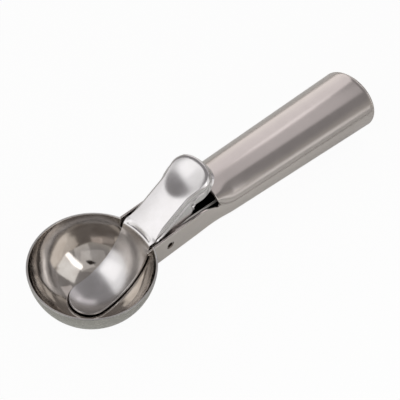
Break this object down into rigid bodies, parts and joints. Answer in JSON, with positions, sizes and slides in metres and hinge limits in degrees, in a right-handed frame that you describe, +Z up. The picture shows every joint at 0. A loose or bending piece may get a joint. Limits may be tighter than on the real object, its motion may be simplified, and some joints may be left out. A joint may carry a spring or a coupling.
{
  "type": "lever ice cream scoop",
  "caption": "Steel ice cream scoop with a round bowl, an oval tube handle and a sprung thumb lever whose tongue sweeps the bowl.",
  "frame": {"origin": "on the table under the middle of the scoop's length, which lies on its bowl and its heel", "axes": "+X from the bowl to the heel of the handle, +Z up, +Y across the scoop"},
  "size_m": [0.2022, 0.056, 0.0483],
  "materials": {
    "bowl": "polished stainless steel",
    "handle": "satin stainless steel",
    "lever": "satin stainless steel",
    "pin": "turned stainless steel",
    "spring": "drawn spring wire"
  },
  "bodies": {
    "root": {"bowl": "bowl", "handle": "handle", "heel_cap": "handle", "pivot_pin": "pin", "torsion_spring": "spring"},
    "lever": {"thumb_lever": "lever"}
  },
  "joints": [
    {"name": "lever_pivot", "type": "hinge", "parent": "root", "child": "lever", "pos_m": [-0.03784, 0, 0.02081], "axis": [0, 1, 0], "range_deg": [0, 18], "stiffness_Nm_per_rad": 0.25, "springref_deg": -20.05, "deforming": ["torsion_spring"]}
  ]
}
